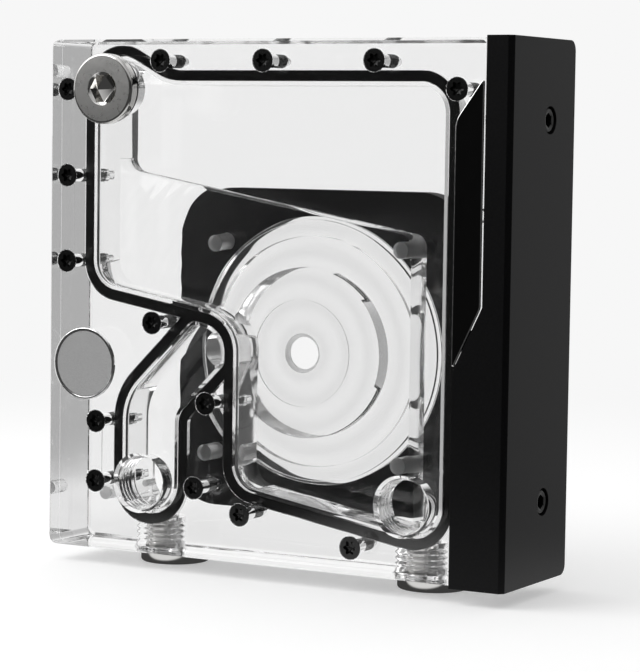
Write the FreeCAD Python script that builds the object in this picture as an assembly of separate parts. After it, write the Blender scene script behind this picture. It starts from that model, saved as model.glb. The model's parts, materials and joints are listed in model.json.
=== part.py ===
import FreeCAD, Part
import math
import os

# A flat water cooling reservoir. A clear acrylic body with milled chambers is closed by a clear
# front plate on a moulded gasket. A pump frame sits behind it and a black bar covers its side.
# Millimetres. While modelling, x runs right from the body's left edge, y runs back from the
# plate's front face and z runs up from the body's bottom face. Each piece is moved to the
# part's own origin, under the middle of the whole reservoir, as it is written out.

# Acrylic body and plate
BODY_WIDTH = 118.6
BODY_HEIGHT = 124.0
BODY_DEPTH = 22.0
PLATE_THICKNESS = 8.0
CORNER_RADIUS = 2.0
EDGE_CHAMFER = 0.6

# Clearances
FILM_GAP = 0.1          # between plate and body, held open by the gasket
SEAT_GAP = 0.05         # between glued or clamped faces
THREAD_GAP = 0.05       # between a screw and its tapped hole
SHANK_GAP = 0.25        # between a screw and its clearance hole
PORT_THREAD_GAP = 0.15  # between a plug and its port

# Ports with a G1/4 thread
PORT_RADIUS = 6.6
PORT_RIM = 0.7
PORT_Z = 17.0
LEFT_PORT_X = 26.6
RIGHT_PORT_INSET = 20.2
FILL_PORT_X = 17.7
FILL_PORT_DROP = 11.9
DRAIN_SETBACK = 8.9     # of a bottom port's axis behind the body's front face
DRAIN_THREAD = 8.0
DRAIN_BORE_RADIUS = 5.0
DRAIN_BORE_REACH = 6.0

# Gasket line, chamber and channel
GASKET_WIDTH = 2.5
GASKET_THICKNESS = 2.0
GASKET_SIDE_GAP = 0.1
GASKET_REACH = 9.3      # from a port's axis to the gasket line
CHAMBER_INSET = 2.2     # from the gasket line to the chamber wall
CHAMBER_TOP_DROP = 8.5
CHAMBER_SLOPE = 9.8     # degrees, of floor, divider and shelf
FILL_SLOPE = 28.0       # degrees, from the fill port down to the chamber's top
FILL_BEND = 12.0
TOP_BEND = 8.5
DIVIDER_X = 48.65
DIVIDER_Z = 56.3
DIVIDER_BEND = 8.0
CHANNEL_LEFT_KNEE = 37.9
CHANNEL_RIGHT_KNEE = 33.3
CHANNEL_LEFT_BEND = 15.5
CHANNEL_RIGHT_BEND = 4.0
CHANNEL_TIP_BEND = 3.5
SHELF_X = 92.2
SHELF_Z = 78.3
SHELF_BEND = 3.5
DEEP_WALL = 4.2         # left behind the deep part of the chamber

# Pump bay, milled from the back
PUMP_X = 63.0
PUMP_Z = 49.5
PUMP_DEPTH = 10.4
PUMP_FLOOR = 1.6        # left between pump bay and chamber
INLET_RADIUS = 3.9
INLET_LIP = 0.9
EYE_RADIUS = 12.9
EYE_STEP = 0.4          # of the shallow recess round the inlet
IMPELLER_RADIUS = 20.5
SEAT_LEDGE = 3.7        # from the pump's seat out to the recess of its flange
SEAT_DEPTH = 3.6
FLANGE_RECESS_DEPTH = 2.0
MOUTH_DEPTH = 0.6       # of the relief in line with the frame's opening
OUTLET_RADIUS = 4.7
OUTLET_X = 40.7

# Pump frame
FRAME_WIDTH = 78.0
FRAME_THICKNESS = 5.0
FRAME_CORNER = 13.0
FRAME_BORDER = 6.6      # left beside the round opening
FRAME_OPENING_GAP = 0.8
FRAME_SCREW_REACH = 3.66
FRAME_SCREW_RADIUS = 1.95
FRAME_SCREW_LENGTH = 14.0
FRAME_SCREW_HEAD = 3.0

# Mounting holes in the back, one at each corner of a square
MOUNT_SPACING = 105.0
MOUNT_RADIUS = 1.65
MOUNT_DEPTH = 9.0
MOUNT_SIDE_INSET = 8.4
MOUNT_TOP_INSET = 7.2

# Countersunk cover screws
SCREW_RADIUS = 1.45
SCREW_LENGTH = 15.5
SCREW_HEAD = 2.7
SCREW_HEAD_RIM = 0.25
SCREW_TIP_ROOM = 0.7
PILOT_RADIUS = 1.1      # of the drilled hole that goes on behind a screw's thread
PILOT_WALL = 1.1        # left between the drilled hole and the depth of the pump bay
SCREW_STANDOFF = 3.4    # from a screw's axis to the gasket line

# Places of the cover screws along the gasket line
LEFT_SCREW_DROP = 12.0  # of the highest left screw below the top edge
LEFT_SCREW_PITCH = 20.92
TOP_SCREW_LEFT = 31.6
TOP_SCREW_MIDDLE = 60.0
TOP_SCREW_RIGHT = 89.5
CORNER_SCREW_SHIFT = 3.0
CORNER_SCREW_DROP = 11.55
DIVIDER_SCREW_X = 29.9
TIP_SCREW_RISE = 4.2    # above the right knee of the channel
KNEE_SCREW_DROP = 6.6   # below the left knee of the channel
PORT_SCREW_DROP = 0.35
PORT_SCREW_SHIFT = 6.3
FLOOR_SCREW_LEFT = 6.45     # right of the divider
FLOOR_SCREW_RIGHT = 13.25   # left of the right port
BAR_SIDE_SCREW_INSET = 4.5
BAR_SIDE_SCREW_PITCH = 28.0

# Side bar and its screws
BAR_THICKNESS = 6.45
BAR_OVERHANG = 0.4
BAR_FRONT = 1.5
BAR_CHAMFER = 1.1
BAR_BACK_INSET = 2.5    # from the bar's back to the frame's back
BAR_BACK_ROUND = 2.5
LIP_WIDTH = 7.1
LIP_TOP = 49.0
LIP_DIAGONAL = 14.7
BAR_SCREW_SETBACK = 11.1
BAR_SCREW_INSET = 18.2
BAR_SCREW_LENGTH = 9.0
BAR_SCREW_HEAD = 2.75
BAR_SCREW_HEAD_HEIGHT = 3.0
BAR_SCREW_RECESS = 3.2
BAR_SCREW_KEY = 2.5

# Name plate and badge, both bare
NAME_PLATE_THICKNESS = 0.6
NAME_PLATE_GAP = 1.3
NAME_PLATE_LENGTH = 56.6
NAME_PLATE_TAPER = 9.9
NAME_PLATE_EDGE = 0.75
NAME_PLATE_WIDTH = 7.1
NAME_PLATE_SHOULDER = 6.0
NAME_PLATE_KNEE = 3.0
NAME_PLATE_TIP = 0.4
BADGE_RADIUS = 8.8
BADGE_THICKNESS = 0.6
BADGE_X = 10.4
BADGE_Z = 45.2

# Screw plugs and their seals
PLUG_FLANGE_RADIUS = 8.5
PLUG_FLANGE = 4.0
PLUG_CHAMFER = 0.6
PLUG_THREAD = 7.0
PLUG_KEY = 6.0
PLUG_KEY_DEPTH = 4.5
PLUG_KEY_MOUTH = 4.15
PLUG_KEY_MOUTH_DEPTH = 0.7
SEAL_RADIUS = 7.6
SEAL_CORD = 0.6
SEAL_GAP = 0.1

# Depths and places that follow from the sizes above
BODY_FRONT = PLATE_THICKNESS + FILM_GAP
BODY_BACK = BODY_FRONT + BODY_DEPTH
FRAME_FRONT = BODY_BACK + SEAT_GAP
FRAME_BACK = FRAME_FRONT + FRAME_THICKNESS
BAR_LEFT = BODY_WIDTH + SEAT_GAP
BAR_RIGHT = BAR_LEFT + BAR_THICKNESS
BAR_BACK = FRAME_BACK - BAR_BACK_INSET
RIGHT_PORT_X = BODY_WIDTH - RIGHT_PORT_INSET
FILL_PORT_Z = BODY_HEIGHT - FILL_PORT_DROP
DRAIN_Y = BODY_FRONT + DRAIN_SETBACK
GASKET_FRONT = PLATE_THICKNESS + SEAT_GAP
GROOVE_BACK = GASKET_FRONT + GASKET_THICKNESS + SEAT_GAP
CHAMBER_TOP = BODY_HEIGHT - CHAMBER_TOP_DROP
CHAMBER_LEFT = FILL_PORT_X - GASKET_REACH
CHAMBER_RIGHT = RIGHT_PORT_X + GASKET_REACH
CHANNEL_LEFT = LEFT_PORT_X - GASKET_REACH
CHANNEL_RIGHT = LEFT_PORT_X + GASKET_REACH
SHALLOW_BACK = BODY_BACK - PUMP_DEPTH - PUMP_FLOOR
EYE_BACK = SHALLOW_BACK + EYE_STEP
DEEP_BACK = BODY_BACK - DEEP_WALL
PUMP_FRONT = BODY_BACK - PUMP_DEPTH
PILOT_END = PUMP_FRONT - PILOT_WALL
SEAT_BACK = BODY_BACK - SEAT_DEPTH
FRAME_OPENING = FRAME_WIDTH / 2 - FRAME_BORDER
FLANGE_RECESS_RADIUS = FRAME_OPENING - FRAME_OPENING_GAP
SEAT_RADIUS = FLANGE_RECESS_RADIUS - SEAT_LEDGE
FRAME_SCREW_SPACING = math.sqrt(2) * (FRAME_OPENING + FRAME_SCREW_REACH)
SLOPE = math.tan(math.radians(CHAMBER_SLOPE))
SLOPE_COS = math.cos(math.radians(CHAMBER_SLOPE))
PAST = 5.0              # how far a cutting shape runs past the face that it opens

AXIS_X = FreeCAD.Vector(1, 0, 0)
AXIS_Y = FreeCAD.Vector(0, 1, 0)
AXIS_Z = FreeCAD.Vector(0, 0, 1)
ORIGIN = FreeCAD.Vector(BAR_RIGHT / 2, (FRAME_BACK - PLUG_FLANGE) / 2, -PLUG_FLANGE)


def floor_z(x):
    """Height of the gasket line along the chamber's sloping floor."""
    return PORT_Z - GASKET_REACH / SLOPE_COS - (x - RIGHT_PORT_X) * SLOPE


def divider_z(x):
    """Height of the gasket line between chamber and channel."""
    return DIVIDER_Z - (x - DIVIDER_X) * SLOPE


def shelf_z(x):
    """Height of the shelf between the shallow and the deep part of the chamber."""
    return SHELF_Z - (x - SHELF_X) * SLOPE


def fill_bend_corner(x=None, z=None):
    """A point on the slanted gasket line that touches the circle round the fill port."""
    slant = math.radians(FILL_SLOPE)
    lift = FILL_PORT_Z + GASKET_REACH / math.cos(slant)
    if x is None:
        return FILL_PORT_X + (lift - z) / math.tan(slant), z
    return x, lift - (x - FILL_PORT_X) * math.tan(slant)


def chamber_line():
    """Corners (x, z, bend radius) of the gasket line round the chamber, anticlockwise."""
    return [
        (CHAMBER_LEFT, divider_z(CHAMBER_LEFT), TOP_BEND),
        (DIVIDER_X, DIVIDER_Z, DIVIDER_BEND),
        (DIVIDER_X, floor_z(DIVIDER_X), DIVIDER_BEND),
        (CHAMBER_RIGHT, floor_z(CHAMBER_RIGHT), GASKET_REACH),
        (CHAMBER_RIGHT, CHAMBER_TOP, TOP_BEND),
        (*fill_bend_corner(z=CHAMBER_TOP), FILL_BEND),
        (*fill_bend_corner(x=CHAMBER_LEFT), GASKET_REACH),
    ]


def channel_line():
    """Corners (x, z, bend radius) of the gasket line round the outlet channel, anticlockwise."""
    rise = CHANNEL_LEFT_KNEE - CHANNEL_LEFT
    join_x = (DIVIDER_Z + DIVIDER_X * SLOPE - rise) / (1 + SLOPE)
    return [
        (CHANNEL_LEFT, PORT_Z - GASKET_REACH, GASKET_REACH),
        (CHANNEL_RIGHT, PORT_Z - GASKET_REACH, GASKET_REACH),
        (CHANNEL_RIGHT, CHANNEL_RIGHT_KNEE, CHANNEL_RIGHT_BEND),
        (DIVIDER_X, CHANNEL_RIGHT_KNEE + DIVIDER_X - CHANNEL_RIGHT, CHANNEL_TIP_BEND),
        (DIVIDER_X, DIVIDER_Z, DIVIDER_BEND),
        (join_x, join_x + rise, CHANNEL_RIGHT_BEND),
        (CHANNEL_LEFT, CHANNEL_LEFT_KNEE, CHANNEL_LEFT_BEND),
    ]


def deep_line():
    """Corners of the area where the chamber is milled deep: above the shelf and right of it."""
    wall = CHAMBER_LEFT + CHAMBER_INSET
    top = BODY_HEIGHT + PAST
    return [
        (wall, shelf_z(wall), SHELF_BEND),
        (SHELF_X, SHELF_Z, SHELF_BEND),
        (SHELF_X, -PAST, 0),
        (BODY_WIDTH + PAST, -PAST, 0),
        (BODY_WIDTH + PAST, top, 0),
        (wall, top, 0),
    ]


def rectangle(x0, z0, x1, z1, radius=0):
    return [(x0, z0, radius), (x1, z0, radius), (x1, z1, radius), (x0, z1, radius)]


def offset_corners(corners, inset):
    """Moves every side of an anticlockwise outline inwards; bends stay concentric."""
    moved = []
    count = len(corners)
    for i, (x, z, radius) in enumerate(corners):
        before = corners[i - 1]
        after = corners[(i + 1) % count]
        a = FreeCAD.Vector(x - before[0], 0, z - before[1]).normalize()
        b = FreeCAD.Vector(after[0] - x, 0, after[1] - z).normalize()
        turn = a.x * b.z - a.z * b.x
        shift = inset / (1 + a.dot(b))
        side_x = -(a.z + b.z) * shift
        side_z = (a.x + b.x) * shift
        bend = radius - inset * math.copysign(1, turn) if radius else 0
        moved.append((x + side_x, z + side_z, bend))
    return moved


def outline_face(corners):
    """A face in the plane y = 0 from corners (x, z, bend radius)."""
    count = len(corners)
    stretches = []
    for i, (x, z, radius) in enumerate(corners):
        corner = FreeCAD.Vector(x, 0, z)
        before = corners[i - 1]
        after = corners[(i + 1) % count]
        a = (FreeCAD.Vector(before[0], 0, before[1]) - corner).normalize()
        b = (FreeCAD.Vector(after[0], 0, after[1]) - corner).normalize()
        half = a.getAngle(b) / 2
        reach = radius / math.tan(half)
        inward = (a + b).normalize() * (radius / math.sin(half) - radius)
        stretches.append((corner + a * reach, corner + inward, corner + b * reach, radius))
    edges = []
    for i, (start, middle, end, radius) in enumerate(stretches):
        if radius:
            edges.append(Part.Arc(start, middle, end).toShape())
        next_start = stretches[(i + 1) % count][0]
        if end.distanceToPoint(next_start) > 1e-6:
            edges.append(Part.LineSegment(end, next_start).toShape())
    return Part.Face(Part.Wire(Part.__sortEdges__(edges)))


def prism(corners, y0, y1, inset=0.0):
    """An outline, moved inwards by inset, drawn out from y0 to y1."""
    face = outline_face(offset_corners(corners, inset))
    face.translate(FreeCAD.Vector(0, y0, 0))
    return face.extrude(FreeCAD.Vector(0, y1 - y0, 0))


def rod(axis, start, end, across, radius, end_radius=None):
    """A cylinder or cone along an axis; across gives its other two coordinates in order."""
    places = {"x": (start, *across), "y": (across[0], start, across[1]), "z": (*across, start)}
    directions = {"x": AXIS_X, "y": AXIS_Y, "z": AXIS_Z}
    place = FreeCAD.Vector(*places[axis])
    if end_radius is None:
        return Part.makeCylinder(radius, end - start, place, directions[axis])
    return Part.makeCone(radius, end_radius, end - start, place, directions[axis])


def revolved(profile):
    """A solid turned about the z axis from (radius, z) points."""
    points = [FreeCAD.Vector(r, 0, z) for r, z in profile]
    face = Part.Face(Part.makePolygon(points + points[:1]))
    return face.revolve(FreeCAD.Vector(), AXIS_Z, 360)


def hex_bar(across_flats, length):
    """A hexagonal bar that rises from the origin along z."""
    radius = across_flats / math.sqrt(3)
    corners = [
        FreeCAD.Vector(radius * math.cos(i * math.pi / 3), radius * math.sin(i * math.pi / 3), 0)
        for i in range(6)
    ]
    face = Part.Face(Part.makePolygon(corners + corners[:1]))
    return face.extrude(AXIS_Z * length)


def cover_screw_places():
    """(x, z) of the cover screws, each set beside the gasket line."""
    left = CHAMBER_LEFT - SCREW_STANDOFF
    top = CHAMBER_TOP + SCREW_STANDOFF
    below = SCREW_STANDOFF / SLOPE_COS
    channel_side = CHANNEL_LEFT - SCREW_STANDOFF
    places = [
        (CHAMBER_RIGHT + CORNER_SCREW_SHIFT, BODY_HEIGHT - CORNER_SCREW_DROP),
        (DIVIDER_SCREW_X, divider_z(DIVIDER_SCREW_X) - below),
        (DIVIDER_X - SCREW_STANDOFF, CHANNEL_RIGHT_KNEE + TIP_SCREW_RISE),
        (channel_side, CHANNEL_LEFT_KNEE - KNEE_SCREW_DROP),
        (channel_side, PORT_Z - PORT_SCREW_DROP),
        (CHANNEL_RIGHT + PORT_SCREW_SHIFT, PORT_Z),
    ]
    for x in (TOP_SCREW_LEFT, TOP_SCREW_MIDDLE, TOP_SCREW_RIGHT):
        places.append((x, top))
    for x in (DIVIDER_X + FLOOR_SCREW_LEFT, RIGHT_PORT_X - FLOOR_SCREW_RIGHT):
        places.append((x, floor_z(x) - below))
    for i in range(3):
        places.append((left, BODY_HEIGHT - LEFT_SCREW_DROP - i * LEFT_SCREW_PITCH))
        places.append((BODY_WIDTH - BAR_SIDE_SCREW_INSET, (i + 1) * BAR_SIDE_SCREW_PITCH))
    return places


def square_places(center_x, center_z, spacing):
    half = spacing / 2
    return [(center_x + i * half, center_z + j * half) for i in (-1, 1) for j in (-1, 1)]


def bar_screw_places():
    """(y, z) of the two screws through the side bar."""
    y = BODY_FRONT + BAR_SCREW_SETBACK
    return [(y, BAR_SCREW_INSET), (y, BODY_HEIGHT - BAR_SCREW_INSET)]


def mount_places():
    half = MOUNT_SPACING / 2
    return square_places(MOUNT_SIDE_INSET + half, BODY_HEIGHT - MOUNT_TOP_INSET - half, MOUNT_SPACING)


def gasket_band(half_width, y0, y1):
    """A band along the gasket line: two loops that share one stretch."""
    lines = (chamber_line(), channel_line())
    outer = [prism(line, y0, y1, -half_width) for line in lines]
    inner = [prism(line, y0 - PAST, y1 + PAST, half_width) for line in lines]
    return outer[0].fuse(outer[1]).cut(inner).removeSplitter()


def body():
    slab = prism(rectangle(0, 0, BODY_WIDTH, BODY_HEIGHT, CORNER_RADIUS), BODY_FRONT, BODY_BACK)
    back_edges = [e for e in slab.Edges if e.BoundBox.YMin > BODY_BACK - EDGE_CHAMFER]
    slab = slab.makeChamfer(EDGE_CHAMFER, back_edges)
    front = BODY_FRONT - PAST
    back = BODY_BACK + PAST
    chamber = prism(chamber_line(), front, DEEP_BACK, CHAMBER_INSET)
    cuts = [
        prism(chamber_line(), front, SHALLOW_BACK, CHAMBER_INSET),
        chamber.common(prism(deep_line(), front, DEEP_BACK)),
        chamber.common(rod("y", front, EYE_BACK, (PUMP_X, PUMP_Z), EYE_RADIUS)),
        prism(channel_line(), front, SHALLOW_BACK, CHAMBER_INSET),
        gasket_band(GASKET_WIDTH / 2 + GASKET_SIDE_GAP, front, GROOVE_BACK),
    ]
    cuts += pump_bay_cuts(back)
    for x in (LEFT_PORT_X, RIGHT_PORT_X):
        cuts.append(rod("z", -PAST, DRAIN_THREAD, (x, DRAIN_Y), PORT_RADIUS))
        cuts.append(rod("z", 0, PORT_RIM, (x, DRAIN_Y), PORT_RADIUS + PORT_RIM, PORT_RADIUS))
        bore_top = DRAIN_THREAD + DRAIN_BORE_REACH
        cuts.append(rod("z", DRAIN_THREAD - PORT_RIM, bore_top, (x, DRAIN_Y), DRAIN_BORE_RADIUS))
    screw_end = SCREW_LENGTH + SCREW_TIP_ROOM
    for place in cover_screw_places():
        cuts.append(rod("y", front, screw_end, place, SCREW_RADIUS + THREAD_GAP))
        cuts.append(rod("y", front, PILOT_END, place, PILOT_RADIUS))
    for place in mount_places():
        cuts.append(rod("y", BODY_BACK - MOUNT_DEPTH, back, place, MOUNT_RADIUS))
    for place in square_places(PUMP_X, PUMP_Z, FRAME_SCREW_SPACING):
        start = FRAME_BACK - FRAME_SCREW_LENGTH - SCREW_TIP_ROOM
        cuts.append(rod("y", start, back, place, FRAME_SCREW_RADIUS + THREAD_GAP))
    for place in bar_screw_places():
        start = BAR_RIGHT - BAR_SCREW_HEAD_HEIGHT - BAR_SCREW_LENGTH - SCREW_TIP_ROOM
        cuts.append(rod("x", start, BODY_WIDTH + PAST, place, SCREW_RADIUS + THREAD_GAP))
    return slab.cut(cuts)


def pump_bay_cuts(back):
    """The inlet, the impeller chamber, the pump's seat and the outlet to the channel."""
    axis = (PUMP_X, PUMP_Z)
    outlet = (OUTLET_X, PUMP_Z)
    slot = Part.makeBox(
        PUMP_X - OUTLET_X,
        SEAT_BACK - PUMP_FRONT,
        OUTLET_RADIUS * 2,
        FreeCAD.Vector(OUTLET_X, PUMP_FRONT, PUMP_Z - OUTLET_RADIUS),
    )
    return [
        rod("y", SHALLOW_BACK - PAST, back, axis, INLET_RADIUS),
        rod("y", EYE_BACK, EYE_BACK + INLET_LIP, axis, INLET_RADIUS + INLET_LIP, INLET_RADIUS),
        rod("y", PUMP_FRONT, back, axis, IMPELLER_RADIUS),
        rod("y", SEAT_BACK, back, axis, SEAT_RADIUS),
        rod("y", BODY_BACK - FLANGE_RECESS_DEPTH, back, axis, FLANGE_RECESS_RADIUS),
        rod("y", BODY_BACK - MOUTH_DEPTH, back, axis, FRAME_OPENING),
        rod("y", SHALLOW_BACK - PAST, SEAT_BACK, outlet, OUTLET_RADIUS),
        slot,
    ]


def plate():
    slab = prism(rectangle(0, 0, BODY_WIDTH, BODY_HEIGHT, CORNER_RADIUS), 0, PLATE_THICKNESS)
    front_edges = [e for e in slab.Edges if e.BoundBox.YMax < EDGE_CHAMFER / 2]
    slab = slab.makeChamfer(EDGE_CHAMFER, front_edges)
    back = PLATE_THICKNESS + PAST
    cuts = []
    for place in ((LEFT_PORT_X, PORT_Z), (RIGHT_PORT_X, PORT_Z), (FILL_PORT_X, FILL_PORT_Z)):
        cuts.append(rod("y", -PAST, back, place, PORT_RADIUS))
        cuts.append(rod("y", 0, PORT_RIM, place, PORT_RADIUS + PORT_RIM, PORT_RADIUS))
    head = SCREW_HEAD + 2 * THREAD_GAP
    hole = SCREW_RADIUS + SHANK_GAP
    for place in cover_screw_places():
        cuts.append(rod("y", -PAST, SCREW_HEAD_RIM, place, head))
        cuts.append(rod("y", SCREW_HEAD_RIM, SCREW_HEAD_RIM + head - hole, place, head, hole))
        cuts.append(rod("y", 0, back, place, hole))
    badge_seat = BADGE_THICKNESS + SEAT_GAP
    cuts.append(rod("y", -PAST, badge_seat, (BADGE_X, BADGE_Z), BADGE_RADIUS + SEAT_GAP))
    return slab.cut(cuts)


def gasket():
    return gasket_band(GASKET_WIDTH / 2, GASKET_FRONT, GASKET_FRONT + GASKET_THICKNESS)


def countersunk_screw(head, rim, radius, length):
    """A countersunk screw with its head's flat at z = 0 and its tip at z = length."""
    cone = rim + head - radius
    tip = radius / 3
    return revolved([
        (0, 0),
        (head, 0),
        (head, rim),
        (radius, cone),
        (radius, length - tip),
        (radius - tip, length),
        (0, length),
    ])


def cover_screws():
    screw = countersunk_screw(SCREW_HEAD, SCREW_HEAD_RIM, SCREW_RADIUS, SCREW_LENGTH)
    screw.rotate(FreeCAD.Vector(), AXIS_X, -90)
    return placed_copies(screw, [FreeCAD.Vector(x, 0, z) for x, z in cover_screw_places()])


def placed_copies(shape, places):
    copies = []
    for place in places:
        copy = shape.copy()
        copy.translate(place)
        copies.append(copy)
    return Part.makeCompound(copies)


def pump_frame():
    half = FRAME_WIDTH / 2
    corners = rectangle(PUMP_X - half, PUMP_Z - half, PUMP_X + half, PUMP_Z + half, FRAME_CORNER)
    slab = prism(corners, FRAME_FRONT, FRAME_BACK)
    cuts = [rod("y", FRAME_FRONT - PAST, FRAME_BACK + PAST, (PUMP_X, PUMP_Z), FRAME_OPENING)]
    hole = FRAME_SCREW_RADIUS + SHANK_GAP
    head = FRAME_SCREW_HEAD + 2 * THREAD_GAP
    cone_back = FRAME_BACK - SCREW_HEAD_RIM
    for place in square_places(PUMP_X, PUMP_Z, FRAME_SCREW_SPACING):
        cuts.append(rod("y", FRAME_FRONT - PAST, FRAME_BACK, place, hole))
        cuts.append(rod("y", cone_back - head + hole, cone_back, place, hole, head))
        cuts.append(rod("y", cone_back, FRAME_BACK + PAST, place, head))
    return slab.cut(cuts)


def pump_frame_screws():
    screw = countersunk_screw(FRAME_SCREW_HEAD, SCREW_HEAD_RIM, FRAME_SCREW_RADIUS, FRAME_SCREW_LENGTH)
    screw.rotate(FreeCAD.Vector(), AXIS_X, 90)
    places = square_places(PUMP_X, PUMP_Z, FRAME_SCREW_SPACING)
    return placed_copies(screw, [FreeCAD.Vector(x, FRAME_BACK, z) for x, z in places])


def side_bar():
    bottom = -BAR_OVERHANG
    top = BODY_HEIGHT + BAR_OVERHANG
    wall = Part.makeBox(
        BAR_THICKNESS,
        BAR_BACK + BAR_FRONT,
        top - bottom,
        FreeCAD.Vector(BAR_LEFT, -BAR_FRONT, bottom),
    )
    rounded = [
        e for e in wall.Edges if e.BoundBox.YMin > BAR_BACK - BAR_CHAMFER and e.BoundBox.ZLength < 1
    ]
    wall = wall.makeFillet(BAR_BACK_ROUND, rounded)
    lip_left = BODY_WIDTH - LIP_WIDTH
    lip_corners = [
        (lip_left, bottom, 0),
        (BAR_LEFT, bottom, 0),
        (BAR_LEFT, LIP_TOP + LIP_DIAGONAL, 0),
        (lip_left, LIP_TOP, 0),
    ]
    bar = wall.fuse(prism(lip_corners, -BAR_FRONT, -SEAT_GAP)).removeSplitter()
    front_right = [
        e for e in bar.Edges
        if e.BoundBox.XMin > BAR_RIGHT - BAR_CHAMFER and e.BoundBox.YMax < BAR_CHAMFER
        and e.BoundBox.ZLength > BODY_HEIGHT / 2
    ]
    bar = bar.makeChamfer(BAR_CHAMFER, front_right)
    cuts = []
    for place in bar_screw_places():
        cuts.append(rod("x", BAR_LEFT - PAST, BAR_RIGHT + PAST, place, SCREW_RADIUS + SHANK_GAP))
        seat = BAR_RIGHT - BAR_SCREW_HEAD_HEIGHT
        cuts.append(rod("x", seat, BAR_RIGHT + PAST, place, BAR_SCREW_RECESS))
    return bar.cut(cuts)


def side_bar_screws():
    """Socket screws whose heads lie just below the bar's face."""
    length = BAR_SCREW_HEAD_HEIGHT + BAR_SCREW_LENGTH
    head = BAR_SCREW_HEAD_HEIGHT - SEAT_GAP
    screw = revolved([
        (0, SEAT_GAP),
        (BAR_SCREW_HEAD, SEAT_GAP),
        (BAR_SCREW_HEAD, head),
        (SCREW_RADIUS, head),
        (SCREW_RADIUS, length),
        (0, length),
    ])
    screw = screw.cut(hex_bar(BAR_SCREW_KEY, BAR_SCREW_HEAD_HEIGHT / 2))
    screw.rotate(FreeCAD.Vector(), AXIS_Y, -90)
    return placed_copies(screw, [FreeCAD.Vector(BAR_RIGHT, y, z) for y, z in bar_screw_places()])


def name_plate():
    right = BODY_WIDTH - NAME_PLATE_EDGE
    left = right - NAME_PLATE_WIDTH
    rise = LIP_DIAGONAL / LIP_WIDTH
    low = LIP_TOP + NAME_PLATE_GAP + (left - BODY_WIDTH + LIP_WIDTH) * rise
    top = low + NAME_PLATE_LENGTH
    corners = [
        (left, low, NAME_PLATE_TIP),
        (right, low + NAME_PLATE_WIDTH * rise, NAME_PLATE_KNEE),
        (right, top + NAME_PLATE_TAPER, NAME_PLATE_TIP),
        (left, top, NAME_PLATE_SHOULDER),
    ]
    return prism(corners, -SEAT_GAP - NAME_PLATE_THICKNESS, -SEAT_GAP)


def badge():
    return rod("y", 0, BADGE_THICKNESS, (BADGE_X, BADGE_Z), BADGE_RADIUS)


def screw_plug():
    """A plug that stands on z = 0, flange above and thread below."""
    thread = PORT_RADIUS - PORT_THREAD_GAP
    flange_low = 2 * SEAL_CORD + SEAL_GAP
    solid = revolved([
        (0, -PLUG_THREAD),
        (thread - PLUG_CHAMFER, -PLUG_THREAD),
        (thread, PLUG_CHAMFER - PLUG_THREAD),
        (thread, flange_low),
        (PLUG_FLANGE_RADIUS, flange_low),
        (PLUG_FLANGE_RADIUS, PLUG_FLANGE - PLUG_CHAMFER),
        (PLUG_FLANGE_RADIUS - PLUG_CHAMFER, PLUG_FLANGE),
        (0, PLUG_FLANGE),
    ])
    mouth = rod("z", PLUG_FLANGE - PLUG_KEY_MOUTH_DEPTH, PLUG_FLANGE + PAST, (0, 0), PLUG_KEY_MOUTH)
    key = hex_bar(PLUG_KEY, PLUG_KEY_DEPTH)
    key.translate(AXIS_Z * (PLUG_FLANGE - PLUG_KEY_DEPTH))
    return solid.cut([mouth, key])


def plug_seal():
    """The seal ring under a plug's flange, in the same place as the plug."""
    return Part.makeTorus(SEAL_RADIUS, SEAL_CORD, AXIS_Z * (SEAL_CORD + SEAL_GAP / 2))


def plugs_and_seals():
    """The fill plug leaves to the front, the drain plugs leave downwards."""
    places = {
        "fill": (FreeCAD.Vector(FILL_PORT_X, 0, FILL_PORT_Z), 90),
        "left_drain": (FreeCAD.Vector(LEFT_PORT_X, DRAIN_Y, 0), 180),
        "right_drain": (FreeCAD.Vector(RIGHT_PORT_X, DRAIN_Y, 0), 180),
    }
    pieces = {}
    for name, (place, turn) in places.items():
        for kind, shape in (("plug", screw_plug()), ("seal", plug_seal())):
            shape.rotate(FreeCAD.Vector(), AXIS_X, turn)
            shape.translate(place)
            pieces[f"{name}_{kind}"] = shape
    return pieces


def main():
    pieces = {
        "reservoir_body": body(),
        "front_plate": plate(),
        "chamber_gasket": gasket(),
        "cover_screws": cover_screws(),
        "side_bar": side_bar(),
        "side_bar_screws": side_bar_screws(),
        "name_plate": name_plate(),
        "badge": badge(),
        "pump_frame": pump_frame(),
        "pump_frame_screws": pump_frame_screws(),
    }
    pieces.update(plugs_and_seals())
    os.makedirs("parts", exist_ok=True)
    for name, shape in pieces.items():
        shape.translate(-ORIGIN)
        shape.exportStep(f"parts/{name}.step")
        print(name, len(shape.Solids), "solids, valid", shape.isValid(), "volume", round(shape.Volume, 1))


main()
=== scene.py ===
"""Looks of a flat water cooling reservoir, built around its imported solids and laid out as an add-on."""

import json
import math

import bmesh
import bpy
from mathutils import Matrix, Vector


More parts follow.
